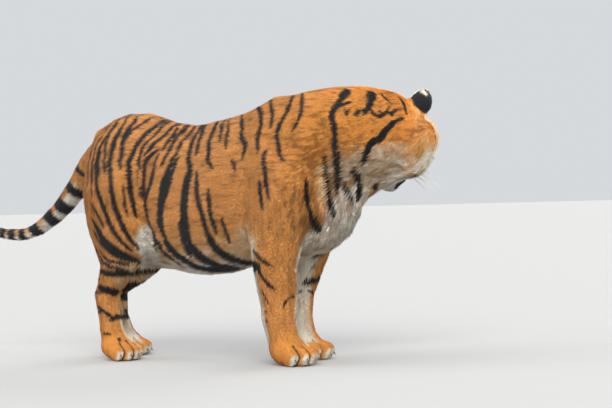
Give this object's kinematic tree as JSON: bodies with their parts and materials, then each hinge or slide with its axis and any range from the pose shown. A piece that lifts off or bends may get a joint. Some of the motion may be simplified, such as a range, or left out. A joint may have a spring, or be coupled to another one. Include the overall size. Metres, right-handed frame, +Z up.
{
  "type": "bengal tiger",
  "caption": "Life-size bengal tiger standing on four paws and looking back over its left side, with a striped orange and white coat and its tail carried low behind.",
  "frame": {"origin": "on the floor, under the middle of the animal's whole footprint, tail included", "axes": "+X the way the body faces, +Y to its left, +Z up"},
  "size_m": [1.9452, 0.6133, 0.933],
  "materials": {
    "fur": "short dense fur, orange with black stripes",
    "pale_fur": "soft white fur",
    "dark_fur": "short black fur",
    "nose_skin": "bare pebbled skin",
    "eye": "wet and clear",
    "claw": "smooth horn",
    "whisker": "stiff pale bristle"
  },
  "bodies": {
    "root": {"trunk": "fur", "neck": "fur", "head": "fur", "lower_jaw": "pale_fur", "nose": "nose_skin", "right_ear": "dark_fur", "left_ear": "dark_fur", "right_eye": "eye", "left_eye": "eye", "tail_base": "fur", "tail_middle": "fur", "tail_tip": "fur", "right_upper_foreleg": "fur", "right_forearm": "fur", "right_fore_paw": "pale_fur", "right_thigh": "fur", "right_shank": "fur", "right_hind_paw": "pale_fur", "left_upper_foreleg": "fur", "left_forearm": "fur", "left_fore_paw": "pale_fur", "left_thigh": "fur", "left_shank": "fur", "left_hind_paw": "pale_fur"}
  },
  "joints": []
}
